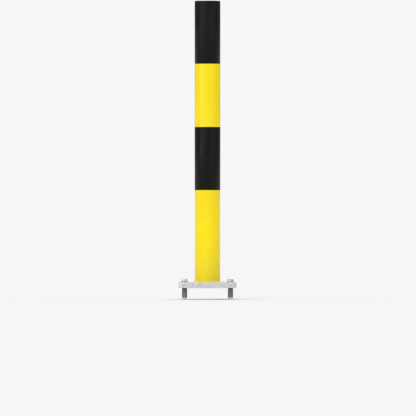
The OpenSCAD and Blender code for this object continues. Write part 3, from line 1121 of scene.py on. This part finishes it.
def shell_outer(height):
    """The sleeve's radius, less a chamfer at its foot and a right-angled groove at each ring."""
    nearest = abs(height[:, None] - GROOVES).min(axis=1)
    chamfer = 0.6 * np.clip(FOOT_CHAMFER - (height - shell_low.z), 0, None)
    return SHELL_R - np.clip(GROOVE - nearest, 0, None) - chamfer


def shell_inner(height):
    """The taper that the cone nut spreads, then a step at 45 degrees up to the plain bore."""
    share = (height - shell_low.z) / (nut_high.z - shell_low.z)
    taper = SHELL_TAPER[0] + (SHELL_TAPER[1] - SHELL_TAPER[0]) * share
    return np.where(share <= 1, taper, np.maximum(SHELL_TAPER[1] - (height - nut_high.z), SHELL_BORE_R))


def slot_half_width(height):
    """The wider of the straight slot, below its end, and the round hole sqrt(r^2 - drop^2) about that
    end."""
    hole = np.sqrt(np.clip(RELIEF_R ** 2 - (height - SLOT_TOP) ** 2, 0, None))
    return np.maximum(np.where(height <= SLOT_TOP, SLOT_HALF, 0), hole)


print("sleeve", round((shell_high.z - shell_low.z) / MM, 1), "mm long")

# %% [markdown]
# Below the slots' ends, the sleeve is four legs. Each row of a leg is a loop: out along the outer wall,
# across the slot's side, back along the bore, and across again. Where the slot's width comes to nothing the
# legs meet, and a plain ring goes on from there.

# %% The expansion sleeves
def sleeve_grids(centre):
    """Four legs, their feet, and the ring above them, as grids that share their borders."""
    slot_end = SLOT_TOP + RELIEF_R
    hole_rows = SLOT_TOP + RELIEF_R * np.sin(np.linspace(-0.89, np.pi / 2, 14))
    bends = np.concatenate([GROOVES + GROOVE * k for k in (-1, 0, 1)])
    step_top = nut_high.z + SHELL_TAPER[1] - SHELL_BORE_R
    marks = np.array([shell_low.z, shell_low.z + FOOT_CHAMFER, nut_high.z, step_top])
    plain = np.linspace(shell_low.z, SLOT_TOP - RELIEF_R, 10)
    rows = np.unique(np.round(np.concatenate([hole_rows, bends, marks, plain]), 7))
    rows = rows[rows <= slot_end + 1e-7]
    share = np.linspace(0, 1, LEG_COLUMNS)
    grids = []
    for leg in range(SLOTS):
        first = -BACK + leg * 2 * np.pi / SLOTS
        loops = []
        for radius in (shell_outer(rows), shell_inner(rows)):
            cut = np.arcsin(slot_half_width(rows) / radius)[:, None]
            angle = first + cut + (2 * np.pi / SLOTS - 2 * cut) * share
            loops.append(np.stack([radius[:, None] * np.cos(angle), radius[:, None] * np.sin(angle),
                                   rows[:, None] + 0 * angle], axis=-1))
        outer, inner = loops
        grids.append((np.concatenate([outer, inner[:, ::-1]], axis=1), False, True))
        grids.append((np.stack([outer[0], inner[0]]), False, False))
    ring_rows = np.array([slot_end, slot_end + 0.25 * MM, shell_high.z - SHELL_EDGE])
    outline = [(r, z) for r, z in zip(shell_outer(ring_rows), ring_rows)]
    outline += [(SHELL_R - SHELL_EDGE, shell_high.z), (SHELL_BORE_R + 0.2 * MM, shell_high.z)]
    outline += [(SHELL_BORE_R, shell_high.z - 0.2 * MM), (SHELL_BORE_R, slot_end)]
    ring = spun(np.array(outline), full_turn(SLOTS * (LEG_COLUMNS - 1), -BACK))
    grids.append((ring, False, True))
    return [(moved(grid, centre), closed_rows, closed_columns) for grid, closed_rows, closed_columns in grids]


for corner, centre in ANCHORS.items():
    node = "expansion_sleeve_" + corner
    add_piece("split_" + node, sleeve_grids(centre), "post", [node], PHOSPHATED)

# %% [markdown]
# The cone nut is a taper with a foot, and with a rib for each slot of the sleeve, so that it is drawn up
# without turning. Four small blocks, joined on, would be the usual way to make the ribs. Here a rib
# changes the radius of the points that lie within its width, and two columns close beside each other at
# each of its flanks keep the flanks upright.

# %% The cone nuts
RIB_HALF = 0.6 * MM
FOOT = 4.2 * MM
NUT_BORE_R = 6.08 * MM
NUT_EDGE = 0.3 * MM
CONE = (7.9 * MM, 6.8 * MM)
CONE_R = nut_high.x - ANCHORS["front_left"][0]
RIB_TOP = nut_high.z - 1.5 * MM
flanks = np.arcsin(RIB_HALF / CONE_R) * np.array([-1.01, -0.97, 0.97, 1.01])
rib_angles = (-BACK + np.arange(SLOTS)[:, None] * 2 * np.pi / SLOTS + flanks).reshape(-1)
nut_angles = np.sort(np.concatenate([full_turn(96, 0.01), rib_angles % (2 * np.pi)]))


def ribbed(angle, radius, height):
    """The radius is the foot's wherever a point of the taper is within half a rib's width of a rib's
    middle."""
    quarter = 2 * np.pi / SLOTS
    from_rib = (angle + BACK + quarter / 2) % quarter - quarter / 2
    near_rib = abs(CONE_R * np.sin(from_rib)) < RIB_HALF
    rib_height = (height > nut_low.z + FOOT - 0.1 * MM) & (height < RIB_TOP)
    outside = radius > NUT_BORE_R + NUT_EDGE
    return np.where(near_rib & rib_height & outside, CONE_R - 0.02 * MM, radius), height


def cone_radius(height):
    """The taper's radius at this height."""
    share = (height - shell_low.z) / (nut_high.z - shell_low.z)
    return CONE[0] + (CONE[1] - CONE[0]) * np.clip(share, 0, 1)


foot_top = nut_low.z + FOOT
taper_z = np.array([foot_top, shell_low.z, RIB_TOP - 0.05 * MM, RIB_TOP + 0.05 * MM, nut_high.z - 0.2 * MM])
nut_outline = (
    [(NUT_BORE_R, nut_low.z + 0.5 * MM), (NUT_BORE_R + 0.5 * MM, nut_low.z)]
    + [(CONE_R - 0.8 * MM, nut_low.z), (CONE_R - 0.1 * MM, nut_low.z + 0.7 * MM)]
    + [(CONE_R, nut_low.z + 0.95 * MM), (CONE_R, foot_top - 0.15 * MM), (CONE_R - 0.15 * MM, foot_top)]
    + list(zip(cone_radius(taper_z), taper_z))
    + [(CONE[1] - 0.2 * MM, nut_high.z), (NUT_BORE_R + NUT_EDGE, nut_high.z)]
    + [(NUT_BORE_R, nut_high.z - NUT_EDGE)]
)
for corner, centre in ANCHORS.items():
    nut = "cone_nut_" + corner
    grid = spun(np.array(nut_outline), nut_angles, centre, ribbed)
    add_piece("ribbed_" + nut, [(grid, True, True)], nut, [nut], ZINC_PLATED)
